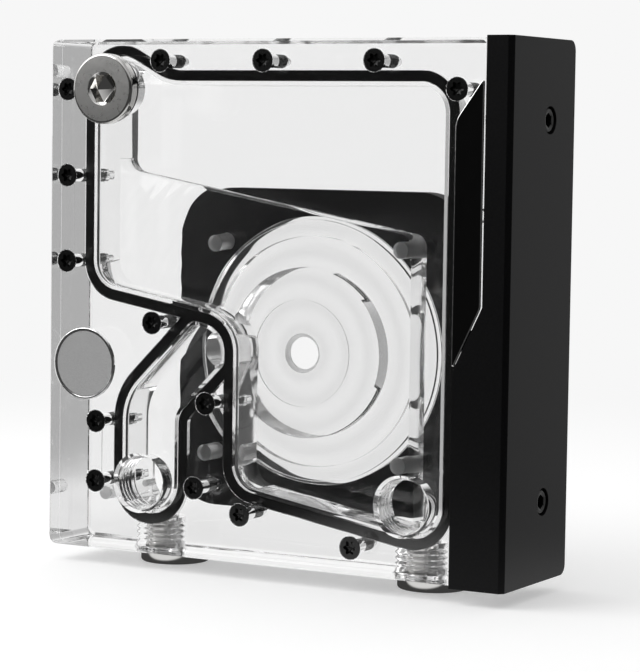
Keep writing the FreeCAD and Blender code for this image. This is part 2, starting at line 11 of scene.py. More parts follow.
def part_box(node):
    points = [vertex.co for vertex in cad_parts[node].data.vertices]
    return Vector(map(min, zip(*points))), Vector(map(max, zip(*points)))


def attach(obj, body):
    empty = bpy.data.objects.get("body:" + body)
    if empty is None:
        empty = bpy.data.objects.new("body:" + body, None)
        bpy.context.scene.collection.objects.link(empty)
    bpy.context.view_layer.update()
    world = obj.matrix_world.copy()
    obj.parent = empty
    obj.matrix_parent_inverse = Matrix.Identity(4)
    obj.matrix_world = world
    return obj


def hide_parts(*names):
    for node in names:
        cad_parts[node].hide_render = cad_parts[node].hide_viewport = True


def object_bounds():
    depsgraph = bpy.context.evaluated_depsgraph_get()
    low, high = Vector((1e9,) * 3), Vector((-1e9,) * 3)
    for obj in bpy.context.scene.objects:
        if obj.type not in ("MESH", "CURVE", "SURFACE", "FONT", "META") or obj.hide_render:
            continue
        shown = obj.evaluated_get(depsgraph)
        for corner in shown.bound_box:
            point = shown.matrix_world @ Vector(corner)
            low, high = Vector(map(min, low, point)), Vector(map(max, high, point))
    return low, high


bl_info = {
    "name": "Water cooling reservoir",
    "version": (1, 0, 0),
    "blender": (4, 5, 0),
    "location": "View3D > Sidebar > Reservoir",
    "description": "Models the looks of a clear acrylic water cooling reservoir",
    "category": "Object",
}

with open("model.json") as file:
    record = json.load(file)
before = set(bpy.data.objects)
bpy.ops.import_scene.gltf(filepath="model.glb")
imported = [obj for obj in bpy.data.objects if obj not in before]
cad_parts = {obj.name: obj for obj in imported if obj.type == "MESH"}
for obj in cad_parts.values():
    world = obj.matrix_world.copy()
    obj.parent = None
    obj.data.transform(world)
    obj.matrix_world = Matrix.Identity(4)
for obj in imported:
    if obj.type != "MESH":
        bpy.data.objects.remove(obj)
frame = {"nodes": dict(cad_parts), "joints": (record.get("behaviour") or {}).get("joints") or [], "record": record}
CAD_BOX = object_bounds()
NODES = frame["nodes"]
MM = 0.001
ROOT = "reservoir"


def linear(hex_colour):
    """Linear RGBA from an sRGB hex value such as '#1A1A1A'."""
    values = [int(hex_colour[i:i + 2], 16) / 255 for i in (1, 3, 5)]
    return [v / 12.92 if v <= 0.04045 else ((v + 0.055) / 1.055) ** 2.4 for v in values] + [1.0]


def length(label, words, size_mm):
    return bpy.props.FloatProperty(
        name=label, description=words, default=size_mm * MM, unit="LENGTH", precision=5
    )


def colour(label, words, hex_colour):
    return bpy.props.FloatVectorProperty(
        name=label, description=words, default=linear(hex_colour), subtype="COLOR", size=4, min=0, max=1
    )


class ReservoirSizes(bpy.types.PropertyGroup):
    port_pitch: length("Port thread pitch", "Pitch of the ports and plugs, 19 threads per inch", 1.337)
    port_depth: length("Port thread depth", "Height of a port's thread", 0.62)
    port_play: length("Port thread play", "Room between a plug's thread and the bore of its port", 0.15)
    plug_key: length("Plug key", "Width across the flats of a plug's hexagon socket", 6.5)
    screw_pitch: length("Screw pitch", "Pitch of the cover and side bar screws", 0.6)
    screw_depth: length("Screw thread depth", "Height of a screw's thread", 0.3)
    screw_bite: length("Screw bite", "How far a cover screw's thread cuts into its tapped hole", 0.17)
    key_radius: length("Screw recess", "Outer radius of a countersunk screw's six-lobe recess", 1.75)
    key_depth: length("Screw recess depth", "Depth of the six-lobe recess", 1.2)
    frame_screw_pitch: length("Frame screw pitch", "Pitch of the pump frame's screws", 0.7)
    bar_key: length("Side bar key", "Width across the flats of a side bar screw's hexagon socket", 3.0)
    bar_head: length("Side bar screw head", "Height of a side bar screw's head", 3.0)
    bar_sink: length("Side bar screw sink", "How far a side bar screw's head sits below the bar's face", 0.3)
    edge_break: length("Edge break", "Width of the broken edges of side bar and pump frame", 0.3)
    gasket_round: length("Gasket rounding", "Radius of the moulded gasket's edges", 0.55)
    plate_break: length("Name plate edge", "Width of the name plate's bevelled edge", 0.35)
    badge_break: length("Badge edge", "Width of the badge's bevelled edge", 0.2)
    badge_rim: length("Badge rim", "Width of the badge's raised rim", 0.6)
    badge_sink: length("Badge sink", "Depth of the badge's face below its rim", 0.15)


class ReservoirColours(bpy.types.PropertyGroup):
    acrylic: colour("Acrylic", "Clear cast acrylic", "#FDFDFD")
    nickel: colour("Nickel", "Nickel plate", "#DAD9D7")
    anodised: colour("Anodised black", "Bead blasted and black anodised aluminium", "#121213")
    oxide: colour("Black oxide", "Black oxide on steel screws", "#070707")
    rubber: colour("Rubber", "Black moulded rubber", "#050505")
    acetal: colour("Acetal", "Milled black acetal", "#151516")
    film: colour("Black film", "Black gloss film of the name plate", "#040404")
    # Also the colour of the painted highlight on the name plate's bevel, whose real edge is black film.
    cut_edge_and_highlight: colour("Cut edge", "Diamond cut aluminium of the bright bevels", "#E6E6E6")
    badge: colour("Badge", "Satin steel", "#DADADA")
    floor: colour("Floor", "White studio floor", "#DCDCDC")


def sizes():
    return bpy.context.scene.reservoir_sizes


def colours():
    return bpy.context.scene.reservoir_colours


# Places read from the frame


def mount(name):
    """A mount of the part's record."""
    return next(m for m in frame["record"]["mounts"] if m["name"] == name)


PLATE_LOW, PLATE_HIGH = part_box("front_plate")
PUMP_AXIS = Vector(mount("pump_bay")["pos_m"])
SCREW_REACH = 1.0 * MM   # the points of one screw lie closer than this, seen along it


def face_point(x, y, z):
    """A point from millimetres right, back and up of the plate's lower left front corner."""
    return PLATE_LOW + Vector((x, y, z)) * MM


def screw_boxes(node, axis):
    """The boxes of a CAD node's screws, which lie along one axis and are told apart across it."""
    across = [i for i in range(3) if i != axis]
    groups = []
    for vertex in NODES[node].data.vertices:
        point = vertex.co
        for low, high in groups:
            if all(low[i] - SCREW_REACH < point[i] < high[i] + SCREW_REACH for i in across):
                for i in range(3):
                    low[i] = min(low[i], point[i])
                    high[i] = max(high[i], point[i])
                break
        else:
            groups.append((point.copy(), point.copy()))
    return groups


# Mesh helpers

SMOOTH_ANGLE = math.radians(30)
FLAT_ANGLE = math.radians(0.5)
MERGE_REACH = 1e-6
RIDGE_FOOT = 0.46    # half widths of a thread's ridge at foot and crest, as shares of the pitch
RIDGE_CREST = 0.1
LOBE_DEPTH = 0.17    # how far a six-lobe recess comes in, as a share of its radius


def deselect():
    if bpy.context.object and bpy.context.object.mode != "OBJECT":
        bpy.ops.object.mode_set(mode="OBJECT")
    bpy.ops.object.select_all(action="DESELECT")


def activate(*objects):
    deselect()
    for obj in objects:
        obj.select_set(True)
    bpy.context.view_layer.objects.active = objects[0]


def edit_all(obj):
    """Enters edit mode with all of an object selected."""
    activate(obj)
    bpy.ops.object.mode_set(mode="EDIT")
    bpy.ops.mesh.select_all(action="SELECT")


def select_faces(obj, wanted):
    """Selects the faces for which wanted(centre, normal) holds, in edit mode."""
    mesh = bmesh.from_edit_mesh(obj.data)
    bpy.ops.mesh.select_mode(type="FACE")
    bpy.ops.mesh.select_all(action="DESELECT")
    for face in mesh.faces:
        face.select_set(wanted(face.calc_center_median(), face.normal))
    mesh.select_flush_mode()
    bmesh.update_edit_mesh(obj.data)


def extrude(offset, scale=1.0):
    """Draws the selected cap out along z and scales it about the z axis."""
    bpy.ops.mesh.extrude_region_move(TRANSFORM_OT_translate={"value": (0, 0, offset)})
    if scale != 1.0:
        bpy.ops.transform.resize(value=(scale, scale, 1), center_override=(0, 0, 0))


def turned(name, profile, segments):
    """A turned piece about z from (radius, z) points; the last cap stays selected in edit mode."""
    deselect()
    radius, height = profile[0]
    bpy.ops.mesh.primitive_circle_add(
        vertices=segments, radius=radius, fill_type="NGON", location=(0, 0, 0)
    )
    obj = bpy.context.object
    obj.name = name
    edit_all(obj)
    bpy.ops.transform.translate(value=(0, 0, height))
    for next_radius, next_height in profile[1:]:
        extrude(next_height - height, next_radius / radius)
        radius, height = next_radius, next_height
    return obj


def shape_cap(obj, radius_at):
    """Moves each selected vertex to the radius that radius_at gives for its angle about z."""
    mesh = bmesh.from_edit_mesh(obj.data)
    for vertex in mesh.verts:
        if vertex.select:
            angle = math.atan2(vertex.co.y, vertex.co.x)
            radius = radius_at(angle)
            vertex.co.x = radius * math.cos(angle)
            vertex.co.y = radius * math.sin(angle)
    bmesh.update_edit_mesh(obj.data)


def hexagon(across_flats):
    """Radius of a hexagon's side at an angle."""
    step = math.pi / 3
    return lambda angle: across_flats / 2 / math.cos((angle % step) - step / 2)


def six_lobe(radius):
    """Radius of a six-lobe recess at an angle."""
    return lambda angle: radius * (1 - LOBE_DEPTH + LOBE_DEPTH * math.cos(6 * angle))


def close_up(obj):
    """Leaves edit mode with merged doubles and normals that point out."""
    bpy.ops.mesh.select_all(action="SELECT")
    bpy.ops.mesh.remove_doubles(threshold=MERGE_REACH)
    bpy.ops.mesh.normals_make_consistent(inside=False)
    bpy.ops.object.mode_set(mode="OBJECT")
    return obj


def apply_modifier(obj, kind, **settings):
    activate(obj)
    modifier = obj.modifiers.new(kind.lower(), kind)
    for key, value in settings.items():
        setattr(modifier, key, value)
    bpy.ops.object.modifier_apply(modifier=modifier.name)


def break_edges(obj, width, segments, degrees):
    """Bevels the edges that turn by more than so many degrees."""
    apply_modifier(
        obj, "BEVEL", width=width, segments=segments, limit_method="ANGLE",
        angle_limit=math.radians(degrees),
    )


def helix(name, root, crest, pitch, turns, start, segments):
    """A helical ridge about z between two radii, from the height start upwards."""
    deselect()
    bpy.ops.mesh.primitive_plane_add(size=1)
    obj = bpy.context.object
    obj.name = name
    corners = ((root, -RIDGE_FOOT), (root, RIDGE_FOOT), (crest, RIDGE_CREST), (crest, -RIDGE_CREST))
    order = (0, 1, 3, 2)
    for index, (radius, share) in zip(order, corners):
        obj.data.vertices[index].co = (radius, 0, start + pitch * (0.5 + share))
    edit_all(obj)
    bpy.ops.mesh.delete(type="ONLY_FACE")
    bpy.ops.object.mode_set(mode="OBJECT")
    apply_modifier(
        obj, "SCREW", axis="Z", angle=2 * math.pi, screw_offset=pitch, iterations=turns,
        steps=segments, render_steps=segments, use_smooth_shade=False,
    )
    edit_all(obj)
    bpy.ops.mesh.fill_holes(sides=4)
    return close_up(obj)


def joined(first, *others):
    activate(first, *others)
    bpy.ops.object.join()
    return first


def place(obj, matrix):
    """Moves a piece in its mesh, so that its object stays at the origin."""
    obj.data.transform(matrix)
    obj.data.update()
    return obj


def along(direction, position):
    """A matrix that turns z to a direction and moves the origin to a position."""
    turn = Vector((0, 0, 1)).rotation_difference(Vector(direction)).to_matrix().to_4x4()
    return Matrix.Translation(position) @ turn


def copy_of(obj, name):
    copy = bpy.data.objects.new(name, obj.data.copy())
    bpy.context.scene.collection.objects.link(copy)
    return copy


def merged_copy(node, name):
    """A copy of a CAD node's mesh with its loose triangles merged."""
    piece = copy_of(NODES[node], name)
    edit_all(piece)
    bpy.ops.mesh.remove_doubles(threshold=MERGE_REACH)
    bpy.ops.object.mode_set(mode="OBJECT")
    return piece


def dissolve_flats(obj):
    """Joins the triangles of each flat area."""
    edit_all(obj)
    bpy.ops.mesh.dissolve_limited(angle_limit=FLAT_ANGLE)
    bpy.ops.object.mode_set(mode="OBJECT")


def flat_copy(node, name):
    """A copy of a CAD node's mesh whose flat areas are single faces."""
    piece = merged_copy(node, name)
    dissolve_flats(piece)
    return piece


def finish(piece, body, slot, material, *nodes):
    """Shades a piece, gives it its finish and lets it ride on its body in place of its nodes."""
    piece.data.materials.clear()
    piece.data.materials.append(material)
    activate(piece)
    bpy.ops.object.shade_smooth_by_angle(angle=SMOOTH_ANGLE)
    apply_modifier(piece, "WEIGHTED_NORMAL", mode="FACE_AREA", weight=50, keep_sharp=True)
    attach(piece, body)
    if nodes:
        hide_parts(*nodes)
    deselect()


def assign(block, material, wanted):
    """Gives the faces for which wanted(centre, normal) holds another finish."""
    block.data.materials.append(material)
    activate(block)
    bpy.ops.object.mode_set(mode="EDIT")
    select_faces(block, wanted)
    block.active_material_index = len(block.data.materials) - 1
    bpy.ops.object.material_slot_assign()
    bpy.ops.object.mode_set(mode="OBJECT")


# Materials

ACRYLIC_IOR = 1.49
WAVE_TURN = math.pi / 10   # turns a wave texture's scale into rings per unit of length
MULTIPLY = {"data_type": "RGBA", "blend_type": "MULTIPLY"}


def add_node(tree, kind, settings=None, inputs=None):
    """Adds a node; an input's value is a constant, or a socket to link from."""
    node = tree.nodes.new(kind)
    for key, value in (settings or {}).items():
        setattr(node, key, value)
    for key, value in (inputs or {}).items():
        if isinstance(value, bpy.types.NodeSocket):
            tree.links.new(value, node.inputs[key])
        else:
            node.inputs[key].default_value = value
    return node


def start_material(name):
    """A material with its tree and its Principled shader, or with None for both where it is made."""
    material = bpy.data.materials.get(name)
    if material:
        return material, None, None
    material = bpy.data.materials.new(name)
    material.use_nodes = True
    tree = material.node_tree
    return material, tree, tree.nodes["Principled BSDF"]


def per_mm(size_mm):
    """Texture scale for a pattern of that size, with coordinates in metres."""
    return 1000.0 / size_mm


def acrylic(name, rough, patch_mm, clear, rings=None):
    """Cast acrylic whose roughness varies in patches; what isn't clear of it scatters light."""
    material, tree, shader = start_material(name)
    if tree is None:
        return material
    shader.inputs["Base Color"].default_value = colours().acrylic
    shader.inputs["Transmission Weight"].default_value = clear
    shader.inputs["IOR"].default_value = ACRYLIC_IOR
    spot = add_node(tree, "ShaderNodeTexCoord").outputs["Object"]
    patches = add_node(
        tree, "ShaderNodeTexNoise", None, {"Vector": spot, "Scale": per_mm(patch_mm), "Detail": 2.0}
    )
    gloss = add_node(
        tree, "ShaderNodeMapRange", None,
        {"Value": patches.outputs["Fac"], "From Min": 0.4, "From Max": 0.8,
         "To Min": rough[0], "To Max": rough[1]},
    )
    tree.links.new(gloss.outputs["Result"], shader.inputs["Roughness"])
    if rings:
        add_rings(tree, shader, spot, **rings)
    return material


def add_rings(tree, shader, spot, ring_mm, height_mm, shade):
    """Adds a turning cutter's marks about the pump's axis: soft rings in height, and rings of painted shade that
    darken the acrylic's colour.
    """
    from_axis = add_node(
        tree, "ShaderNodeVectorMath", {"operation": "SUBTRACT"}, {0: spot, 1: PUMP_AXIS}
    )
    rings = add_node(
        tree, "ShaderNodeTexWave", {"wave_type": "RINGS", "rings_direction": "Y"},
        {"Vector": from_axis.outputs["Vector"], "Scale": per_mm(ring_mm) * WAVE_TURN, "Distortion": 1.5,
         "Detail": 2.0, "Detail Scale": 0.3},
    )
    bump = add_node(
        tree, "ShaderNodeBump", None,
        {"Height": rings.outputs["Fac"], "Strength": 0.5, "Distance": height_mm * MM},
    )
    tree.links.new(bump.outputs["Normal"], shader.inputs["Normal"])
    # Painted shade: the rings darken the acrylic's colour, in place of the grey shading that light gives a turned
    # surface.
    painted_ring_shade = add_node(
        tree, "ShaderNodeMapRange", None, {"Value": rings.outputs["Fac"], "To Min": shade, "To Max": 1.0}
    )
    tint = add_node(
        tree, "ShaderNodeMix", MULTIPLY,
        {"Factor": 1.0, "A": colours().acrylic, "B": painted_ring_shade.outputs["Result"]},
    )
    tree.links.new(tint.outputs["Result"], shader.inputs["Base Color"])


def polished_acrylic():
    """Cast acrylic, polished: clear, with a faint unevenness."""
    return acrylic("acrylic_cast_polished", rough=(0.0, 0.012), patch_mm=9.0, clear=1.0)


def tapped_acrylic():
    """Cast acrylic, tapped: the threads of the ports, slightly matt."""
    return acrylic("acrylic_tapped", rough=(0.03, 0.06), patch_mm=2.0, clear=0.94)


def milled_acrylic():
    """Cast acrylic, fine milled: the chambers' walls, softly clear."""
    return acrylic("acrylic_fine_milled", rough=(0.06, 0.14), patch_mm=4.0, clear=0.95)


def drilled_acrylic():
    """Cast acrylic as it comes from the drill: the holes in the back and the inlet, frosted."""
    return acrylic("acrylic_drilled", rough=(0.3, 0.5), patch_mm=1.5, clear=0.55)


def faced_acrylic():
    """Cast acrylic, faced with a cutter: the chambers' floors, clear with faint rings of painted shade.

    A cutter's real feed of some 0.2 mm is too fine to show, so the rings are drawn 3 mm apart.
    """
    rings = {"ring_mm": 3.0, "height_mm": 0.04, "shade": 0.98}
    return acrylic("acrylic_faced", rough=(0.02, 0.07), patch_mm=6.0, clear=1.0, rings=rings)


def turned_acrylic():
    """Cast acrylic, turned: the pump bay, softly clear with broad rings of painted shade.

    The real marks are too fine to show, so the rings are drawn 6 mm apart.
    """
    rings = {"ring_mm": 6.0, "height_mm": 0.06, "shade": 0.86}
    return acrylic("acrylic_turned", rough=(0.08, 0.18), patch_mm=3.0, clear=0.93, rings=rings)


def nickel(name, rough):
    """Nickel plate on turned brass: a bright warm grey metal with faint marks in its gloss."""
    material, tree, shader = start_material(name)
    if tree is None:
        return material
    shader.inputs["Base Color"].default_value = colours().nickel
    shader.inputs["Metallic"].default_value = 1.0
    spot = add_node(tree, "ShaderNodeTexCoord").outputs["Object"]
    marks = add_node(
        tree, "ShaderNodeTexNoise", None, {"Vector": spot, "Scale": per_mm(0.8), "Detail": 3.0}
    )
    gloss = add_node(
        tree, "ShaderNodeMapRange", None,
        {"Value": marks.outputs["Fac"], "To Min": rough[0], "To Max": rough[1]},
    )
    tree.links.new(gloss.outputs["Result"], shader.inputs["Roughness"])
    return material


def nickel_plate():
    """Nickel plate, polished: the turned sides and the sockets of the plugs."""
    return nickel("nickel_plate_polished", rough=(0.05, 0.12))


def satin_nickel():
    """Nickel plate, satin turned: the flat rings of the plugs."""
    return nickel("nickel_plate_satin", rough=(0.24, 0.34))


def speckled(name, base, speck_mm, rough, bump_mm, gloss, metal=0.0):
    """A plain surface with a grain in its colour, its gloss and its height.

    Real blast, mould and milling grain is mostly under 0.1 mm, and is drawn as coarse as it needs to show.
    """
    material, tree, shader = start_material(name)
    if tree is None:
        return material
    shader.inputs["Metallic"].default_value = metal
    shader.inputs["Specular IOR Level"].default_value = gloss
    spot = add_node(tree, "ShaderNodeTexCoord").outputs["Object"]
    grain = add_node(
        tree, "ShaderNodeTexNoise", None,
        {"Vector": spot, "Scale": per_mm(speck_mm), "Detail": 4.0, "Roughness": 0.6},
    )
    shade = add_node(
        tree, "ShaderNodeMapRange", None,
        {"Value": grain.outputs["Fac"], "From Min": 0.3, "From Max": 0.7, "To Min": 0.75, "To Max": 1.3},
    )
    tint = add_node(
        tree, "ShaderNodeMix", MULTIPLY, {"Factor": 1.0, "A": base, "B": shade.outputs["Result"]}
    )
    tree.links.new(tint.outputs["Result"], shader.inputs["Base Color"])
    sheen = add_node(
        tree, "ShaderNodeMapRange", None,
        {"Value": grain.outputs["Fac"], "To Min": rough[0], "To Max": rough[1]},
    )
    tree.links.new(sheen.outputs["Result"], shader.inputs["Roughness"])
    bump = add_node(
        tree, "ShaderNodeBump", None,
        {"Height": grain.outputs["Fac"], "Strength": 0.25, "Distance": bump_mm * MM},
    )
    tree.links.new(bump.outputs["Normal"], shader.inputs["Normal"])
    return material


def anodised_aluminium():
    """Aluminium, bead blasted and anodised black: a fine sparkle on satin black."""
    return speckled(
        "aluminium_black_anodised", colours().anodised, speck_mm=0.5, rough=(0.32, 0.46), bump_mm=0.06,
        gloss=0.14,
    )


def oxide_steel():
    """Steel with black oxide: near black with a soft sheen."""
    return speckled(
        "steel_black_oxide", colours().oxide, speck_mm=0.4, rough=(0.16, 0.3), bump_mm=0.01, gloss=0.6
    )


def matt_oxide_steel():
    """Steel with black oxide, rubbed matt: the side bar's screws."""
    return speckled(
        "steel_black_oxide_matt", colours().oxide, speck_mm=0.4, rough=(0.26, 0.4), bump_mm=0.01, gloss=0.42
    )


def moulded_rubber():
    """Rubber, moulded: deep black, semi-matt."""
    return speckled(
        "rubber_moulded", colours().rubber, speck_mm=0.6, rough=(0.45, 0.65), bump_mm=0.02, gloss=0.12
    )


def milled_acetal():
    """Acetal, milled: charcoal black with a waxy sheen."""
    return speckled(
        "acetal_milled_black", colours().acetal, speck_mm=0.9, rough=(0.45, 0.65), bump_mm=0.03, gloss=0.15
    )


def gloss_film():
    """Gloss film, printed: deep black and mirror smooth."""
    return speckled(
        "film_black_gloss", colours().film, speck_mm=2.5, rough=(0.08, 0.14), bump_mm=0.004, gloss=0.5
    )


def cut_aluminium_and_highlight():
    """Aluminium, diamond cut: the bright rim of the badge, and the painted highlight on the name plate's bevel."""
    return speckled(
        "aluminium_diamond_cut_and_painted_highlight", colours().cut_edge_and_highlight, speck_mm=0.8, rough=(0.08, 0.14), bump_mm=0.002,
        gloss=0.5, metal=1.0,
    )


def satin_steel():
    """Stainless steel, fine blasted: even satin grey."""
    return speckled(
        "steel_satin_blasted", colours().badge, speck_mm=0.15, rough=(0.5, 0.62), bump_mm=0.01,
        gloss=0.5, metal=1.0,
    )


# Ports and the faces of the acrylic

PORT_RADIUS = mount("left_port")["dims"]["r_mm"] * MM
PORT_SEGMENTS = 96
PORT_TURNS = 4
PORT_CREST = 0.05 * MM     # how much lower a port's ridge is than the thread is deep
RIDGE_GAP = 0.02 * MM      # between a ridge and the bore that it stands in
RIDGE_FUSE = 0.1 * MM      # how far a fused ridge reaches into the block
PLUG_AXES = {"fill": (0, -1, 0), "left_drain": (0, 0, -1), "right_drain": (0, 0, -1)}
PLUG_THREAD = 6.7 * MM
THREAD_REACH = 0.2 * MM    # how far outside a port's bore its thread's faces may lie
DRAIN_DEPTH = 8.0 * MM     # how far a bottom port's thread reaches into the body
BLOCK_SKIN = 1.0 * MM      # what lies closer to the outer faces is no wall inside
FACING = 0.95              # how straight a face has to look along y to be no wall
CHAMFER_FACING = 0.3       # how far a face has to lean back to be the chamfer
BAY_RADIUS = (mount("pump_bay")["dims"]["r_mm"] + 0.2) * MM
INLET_REACH = 15.0 * MM    # the inlet's steps lie closer to the pump's axis than this
HOLE_REACH = 2.3 * MM      # a hole's walls lie closer to its axis than this
FRAME_SCREW_BOXES = screw_boxes("pump_frame_screws", 1)
FLOOR_FRONT = PLATE_LOW.y + 17.6 * MM   # just in front of the shallow chamber's floor
BAY_FRONT = PLATE_LOW.y + 18.8 * MM     # just in front of the pump bay
BAY_BACK = PLATE_LOW.y + 29.8 * MM      # just in front of the body's back face


def plug_seat(name):
    """Where a plug's flange meets its port's face."""
    joint = next(j for j in frame["joints"] if j["name"] == f"{name}_turn")
    return Vector(joint["pos_m"])


def port_mouth(name):
    """The middle of an open port's mouth on the front face."""
    x, _, z = mount(name)["pos_m"]
    return Vector((x, PLATE_LOW.y, z))


def port_ridge(matrix, root):
    """The helical ridge of a port's thread, half a pitch off the ridge of its plug."""
    size = sizes()
    ridge = helix(
        "port_thread", root, PORT_RADIUS - size.port_depth + PORT_CREST,
        size.port_pitch, PORT_TURNS, -PLUG_THREAD - size.port_pitch / 2, PORT_SEGMENTS,
    )
    return place(ridge, matrix)


def fuse_port_thread(block, matrix):
    """Fuses a port's thread with the block, for a port that is seen through the acrylic."""
    ridge = port_ridge(matrix, PORT_RADIUS + RIDGE_FUSE)
    apply_modifier(block, "BOOLEAN", operation="UNION", object=ridge, solver="EXACT")
    bpy.data.objects.remove(ridge)


def inside_block(centre):
    """Whether a point lies well inside the outer faces of the acrylic, apart from front and back."""
    return all(PLATE_LOW[i] + BLOCK_SKIN < centre[i] < PLATE_HIGH[i] - BLOCK_SKIN for i in (0, 2))


def from_pump_axis(at):
    return math.hypot(at.x - PUMP_AXIS.x, at.z - PUMP_AXIS.z)


def chamber_wall(at, normal):
    """Walls of chamber, channel and gasket groove, and the chamfer round the back."""
    wall = inside_block(at) and abs(normal.y) < FACING
    return wall or CHAMFER_FACING < normal.y < FACING


def chamber_floor(at, normal):
    """The shallow floor of chamber and channel."""
    return inside_block(at) and normal.y < -FACING and FLOOR_FRONT < at.y < BAY_FRONT


def bay_face(at, normal):
    """Walls and floors of the pump bay."""
    wall = abs(normal.y) < FACING and at.y > BAY_FRONT
    floor = normal.y > FACING and at.y < BAY_BACK
    return from_pump_axis(at) < BAY_RADIUS and (wall or floor)


def inlet_step(at, normal):
    """The steps round the pump's inlet."""
    return from_pump_axis(at) < INLET_REACH and at.y > FLOOR_FRONT and abs(normal.y) < FACING


def hole_face(at, normal):
    """Walls and ends of the frame screws' holes and of the mounting holes."""
    rear = mount("rear_holes")
    half = rear["dims"]["spacing_x_mm"] / 2 * MM
    x, _, z = rear["pos_m"]
    axes = [(x + i * half, z + k * half) for i in (-1, 1) for k in (-1, 1)]
    axes += [((low.x + high.x) / 2, (low.z + high.z) / 2) for low, high in FRAME_SCREW_BOXES]
    near = any(math.hypot(at.x - a, at.z - b) < HOLE_REACH for a, b in axes)
    return near and BAY_FRONT < at.y < BAY_BACK and normal.y > -FACING


def drilled_face(at, normal):
    return inlet_step(at, normal) or hole_face(at, normal)


def drain_thread(at, normal):
    """The threads of the bottom ports."""
    return any(
        math.hypot(at.x - plug_seat(name).x, at.y - plug_seat(name).y) < PORT_RADIUS + THREAD_REACH
        and at.z < plug_seat(name).z + DRAIN_DEPTH
        for name in ("left_drain", "right_drain")
    )


def port_thread(at, normal):
    """The threads of the front ports and of the fill port."""
    axes = [port_mouth(name) for name in ("left_port", "right_port")] + [plug_seat("fill")]
    near = any(math.hypot(at.x - p.x, at.z - p.z) < PORT_RADIUS + THREAD_REACH for p in axes)
    return near and abs(normal.y) < FACING


class RESERVOIR_OT_acrylic(bpy.types.Operator):
    """Clear body and front plate, with the threads of their ports"""

    bl_idname = "reservoir.acrylic"
    bl_label = "Acrylic body and plate"

    def execute(self, context):
        body = merged_copy("reservoir_body", "acrylic_body")
        for name in ("left_drain", "right_drain"):
            fuse_port_thread(body, along(PLUG_AXES[name], plug_seat(name)))
        dissolve_flats(body)
        finish(body, ROOT, "clear_acrylic", polished_acrylic(), "reservoir_body")
        assign(body, milled_acrylic(), chamber_wall)
        assign(body, faced_acrylic(), chamber_floor)
        assign(body, turned_acrylic(), bay_face)
        assign(body, drilled_acrylic(), drilled_face)
        assign(body, tapped_acrylic(), drain_thread)
        plate = flat_copy("front_plate", "acrylic_plate")
        mouths = [plug_seat("fill"), port_mouth("left_port"), port_mouth("right_port")]
        ridges = [port_ridge(along((0, -1, 0), mouth), PORT_RADIUS - RIDGE_GAP) for mouth in mouths]
        joined(plate, *ridges)
        finish(plate, ROOT, "clear_acrylic", polished_acrylic(), "front_plate")
        assign(plate, tapped_acrylic(), port_thread)
        return {"FINISHED"}


class RESERVOIR_OT_gasket(bpy.types.Operator):
    """Black moulded gasket with rounded edges"""

    bl_idname = "reservoir.gasket"
    bl_label = "Chamber gasket"

    def execute(self, context):
        gasket = flat_copy("chamber_gasket", "moulded_gasket")
        break_edges(gasket, sizes().gasket_round, segments=3, degrees=60)
        finish(gasket, ROOT, "gasket_rubber", moulded_rubber(), "chamber_gasket")
        return {"FINISHED"}


# Screws

SCREW_SEGMENTS = 48
SCREW_RIDGE_SEGMENTS = 20
SCREW_CORE = 1.45 * MM
FRAME_SCREW_CORE = 1.95 * MM
SCREW_POINT = 0.2 * MM     # bare length at the tip
RIDGE_ROOT = 0.05 * MM     # how deep a screw's ridge sits in its core
NECK = 2.2                 # depths of a countersunk head's neck and cone, in heights of the cone
CONE = 1.25
HEAD_LAND = 0.25 * MM
HEAD_BREAK = 0.08 * MM
KEY_TAPER = 0.9            # width of a six-lobe recess at its end, as a share of its mouth
KEY_POINT = 0.3 * MM       # depth of the drill point at its end
BAR_EDGE = ((0.0, 0.3), (0.1, 0.1), (0.3, 0.0))   # mm in from a socket head's rim and down from its face
BAR_MOUTH = ((2.0, 0.0), (1.8, 0.2))              # radius and depth in mm of its socket's chamfer
BAR_KEY_DEPTH = 1.6 * MM
BAR_KEY_POINT = 0.4 * MM
POINT_TAPER = 0.3          # width of a drill point's end, as a share of the recess


def threaded(screw, root, tip, pitch, grips):
    """Joins a screw with its thread, in stretches from the tip up: each has its crest and its end."""
    start = SCREW_POINT + tip
    ridges = []
    for crest, end in grips:
        turns = int((end - start) / pitch)
        ridge = helix(
            "screw_thread", root - RIDGE_ROOT, crest, pitch, turns, start, SCREW_RIDGE_SEGMENTS
        )
        ridges.append(ridge)
        start += turns * pitch
    return joined(screw, *ridges)


def countersunk_screw(name, low, high, core, pitch, grips=()):
    """A countersunk screw along z, head up at z = 0, with a six-lobe recess and a helical thread."""
    size = sizes()
    radius = (high.x - low.x) / 2
    tip = low.y - high.y
    cone = radius - core
    root = core - size.screw_depth
    neck = -cone * NECK
    profile = [
        (root, tip),
        (root, neck),
        (core, -cone * CONE),
        (radius, -HEAD_LAND),
        (radius, -HEAD_BREAK),
        (radius - HEAD_BREAK, 0),
        (size.key_radius, 0),
    ]
    screw = turned(name, profile, SCREW_SEGMENTS)
    shape_cap(screw, six_lobe(size.key_radius))
    extrude(-size.key_depth, KEY_TAPER)
    extrude(-KEY_POINT, POINT_TAPER)
    close_up(screw)
    return threaded(screw, root, tip, pitch, (*grips, (core, neck)))


def socket_screw(name, low, high):
    """A socket head screw along z, head up and a little below z = 0, with its thread."""
    size = sizes()
    tip = low.x - high.x
    radius = (high.y - low.y) / 2
    root = SCREW_CORE - size.screw_depth
    top = -size.bar_sink
    shank = [(root, tip), (root, -size.bar_head), (radius, -size.bar_head)]
    edge = [(radius - inset * MM, top - depth * MM) for inset, depth in BAR_EDGE]
    mouth = [(mouth_radius * MM, top - depth * MM) for mouth_radius, depth in BAR_MOUTH]
    screw = turned(name, shank + edge + mouth, SCREW_SEGMENTS)
    shape_cap(screw, hexagon(size.bar_key))
    extrude(-BAR_KEY_DEPTH)
    extrude(-BAR_KEY_POINT, POINT_TAPER)
    close_up(screw)
    return threaded(screw, root, tip, size.screw_pitch, [(SCREW_CORE, -size.bar_head)])


